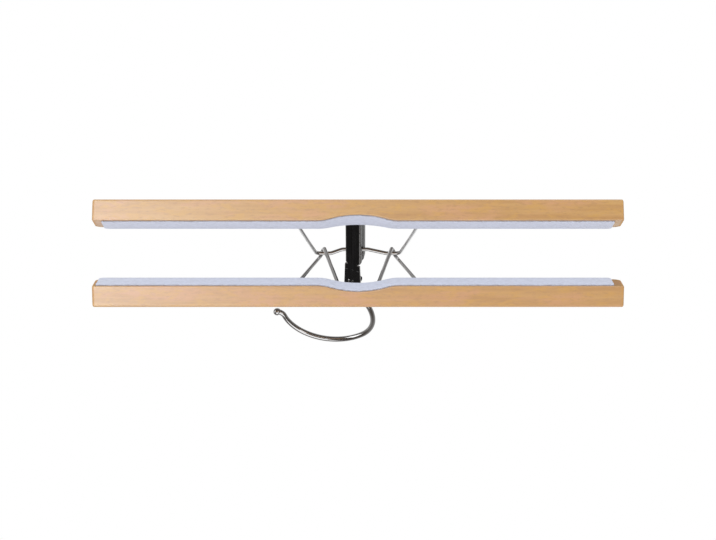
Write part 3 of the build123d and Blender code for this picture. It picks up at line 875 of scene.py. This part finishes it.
# %% The blank's grid, drawn onto the outline
spacing, reach_in, nudge, least_area, bead_side = 0.26, 0.16, 0.01, 0.010, 0.78
wear_reach, broken_edge = 0.25, 0.14
side_lines = np.concatenate([np.linspace(0.9, latch_half, 19)[:-1],
                             np.arange(latch_half, blank_half + 0.3, spacing)])
u_lines = np.concatenate([-side_lines[::-1], np.linspace(-bead_side, bead_side, 14), side_lines])
v_lines = np.arange(arm_start - 0.2, ear_end + 0.4, spacing)
u, v = np.meshgrid(u_lines, v_lines)
u = u * tongue_half(v) / latch_half
for _ in range(4):
    away = blank_distance(u, v)
    du = (blank_distance(u + nudge, v) - blank_distance(u - nudge, v)) / (2 * nudge)
    dv = (blank_distance(u, v + nudge) - blank_distance(u, v - nudge)) / (2 * nudge)
    close = np.abs(away) < reach_in
    u, v = np.where(close, u - away * du, u), np.where(close, v - away * dv, v)
away = blank_distance(u, v)
inside = away < 0.02
cells = grid_quads(*u.shape, False, False)[0]
corner_u, corner_v = u.ravel()[cells], v.ravel()[cells]
area = 0.5 * np.abs((corner_u[:, 0] - corner_u[:, 2]) * (corner_v[:, 1] - corner_v[:, 3])
                    - (corner_u[:, 1] - corner_u[:, 3]) * (corner_v[:, 0] - corner_v[:, 2]))
kept = cells[inside.ravel()[cells].all(1) & (area > least_area)]
used, renumbered = np.unique(kept, return_inverse=True)
faces = renumbered.reshape(-1, 4)[:, ::-1]

# %% The folded sheet
latch_points = latch_place.out(fold(u, v).reshape(-1, 3)[used]) * MM
latch_mesh = bpy.data.meshes.new("latch_sheet")
latch_mesh.from_pydata(latch_points.tolist(), [], faces.tolist())
blank_map = np.stack([u.ravel()[used], v.ravel()[used]], -1)[faces.ravel()] * MM
latch_mesh.uv_layers.new(name="UVMap").data.foreach_set("uv", blank_map.ravel().astype(np.float32))
field = latch_mesh.attributes.new("edge", "FLOAT", "POINT")
worn = np.exp(-np.clip(-away.ravel()[used], 0, None) / wear_reach)
field.data.foreach_set("value", worn.astype(np.float32))
latch_mesh.polygons.foreach_set("use_smooth", np.ones(len(latch_mesh.polygons), bool))
latch = bpy.data.objects.new("latch_sheet", latch_mesh)
bpy.context.scene.collection.objects.link(latch)
thickness = latch.modifiers.new("thickness", "SOLIDIFY")
thickness.thickness, thickness.offset, thickness.use_even_offset = sheet * MM, 0.0, False
broken = latch.modifiers.new("broken edges", "BEVEL")
broken.width, broken.segments = broken_edge * MM, 2
broken.limit_method, broken.angle_limit = "ANGLE", math.radians(50)
settle(latch, "latch_body", "black_sheet", black_sheet, "latch")
print("latch blank:", len(used), "points,", len(kept), "cells")

# %% [markdown]
# ## Floor and light
# The hanger hangs in a plain white studio with a pale floor far below it. Wood and felt show how
# much light falls on them, but bright wire shows what stands round it. So the light comes from a
# few soft panels, and the wire reflects walls of its own. The lacquer shows a pale haze at one
# end of the bars. It is the reflection of a window that is linked to the bars alone. The floor
# is kept out of reflections, which would otherwise turn the wires white.

# %% Floor
floor_half, floor_height = 30.0, -1.9
floor_corners = [(x * floor_half, y * floor_half, floor_height)
                 for x, y in ((-1, -1), (1, -1), (1, 1), (-1, 1))]
floor_mesh = bpy.data.meshes.new("floor")
floor_mesh.from_pydata(floor_corners, [], [(0, 1, 2, 3)])
floor = bpy.data.objects.new("floor", floor_mesh)
bpy.context.scene.collection.objects.link(floor)
floor_finish = Finish("floor", roughness=0.9, specular_ior_level=0.1)
speckle = floor_finish.noise(floor_finish.place((3, 3, 3)), 1.0, 2.0)
floor_tone = floor_finish.mix(speckle, (0.80, 0.80, 0.80, 1), (0.84, 0.84, 0.84, 1))
floor_mesh.materials.append(floor_finish.feed(base_color=floor_tone))
floor.visible_glossy = floor.visible_diffuse = False
print("floor", 2 * floor_half, "m wide at", floor_height, "m")


# %% Lights
def panel(name, position, target, width, height, watts):
    """A rectangular soft light that faces its target."""
    data = bpy.data.lights.new(name, "AREA")
    data.shape, data.size, data.size_y, data.energy = "RECTANGLE", width, height, watts
    light = bpy.data.objects.new(name, data)
    light.location = position
    away_from = np.array(position) - np.array(target)
    light.rotation_euler = (math.atan2(np.hypot(away_from[0], away_from[1]), away_from[2]), 0,
                            math.atan2(away_from[0], -away_from[1]))
    bpy.context.scene.collection.objects.link(light)
    return light


middle = (hinge[0] * MM, hinge[1] * MM, -0.09)
panel("panel below", (-0.02, 0.77, -0.80), middle, 1.1, 1.15, 3.6)
panel("card by the lens", (0.44, 0.10, -1.08), middle, 0.36, 0.30, 0.40)
panel("window left", (-0.97, -0.20, -0.38), middle, 0.9, 0.36, 1.5)
fill = panel("fill above", (0.02, -0.80, -0.80), middle, 1.2, 0.8, 3.0)
fill.visible_glossy = False
haze = panel("window on the lacquer", (-0.34, hinge[1] * MM, -0.80), (-0.12, hinge[1] * MM, -0.17),
             1.3, 0.25, 14.0)
haze.visible_diffuse = False
haze.data.color = (0.66, 0.77, 0.88)
woods = bpy.data.collections.new("lacquered pieces")
for wood in ("front_bar_wood", "rear_bar_wood"):
    woods.objects.link(bpy.data.objects[wood])
haze.light_linking.receiver_collection = woods


# %% The studio's walls
def studio_world():
    """White to the eye and an even pale grey to wood and felt. Bright wire sees a dim warm room
    that gets lighter upwards, white paper overhead and a dark flag across part of the paper,
    which draws the dark line along each wire. Paper and flag are ramps of how near a direction
    is to their own."""
    world = bpy.data.worlds.new("studio")
    bpy.context.scene.world = world
    world.use_nodes = True
    walls = Recipe(world.node_tree)
    way = walls.node("ShaderNodeTexCoord", output="Generated")
    side, down, height = (walls.part(way, axis) for axis in range(3))
    flag = (side * 0.22 - down * 0.47 + height * 0.855).ramp(0.955, 0.985)
    paper = (height + down * 0.16 - side * 0.04).ramp(0.74, 0.99)
    light = (height.ramp(-0.20, 0.66) * 0.24 + paper * 0.76) * (1 - flag * 0.8)
    backdrop = walls.mix(light, (0.065, 0.055, 0.048, 1), (1.0, 1.0, 1.0, 1))
    glossy = walls.node("ShaderNodeLightPath", output="Is Glossy Ray")
    seen = walls.node("ShaderNodeLightPath", output="Is Camera Ray")
    glow = walls.mix(glossy, (0.74, 0.745, 0.75, 1), backdrop)
    back = next(n for n in world.node_tree.nodes if n.type == "BACKGROUND")
    world.node_tree.links.new(walls.mix(seen, glow, (1, 1, 1, 1)).socket, back.inputs["Color"])
    back.inputs["Strength"].default_value = 1.0


studio_world()
bpy.context.scene.view_settings.view_transform = "Standard"
print("wall nodes:", len(bpy.context.scene.world.node_tree.nodes))
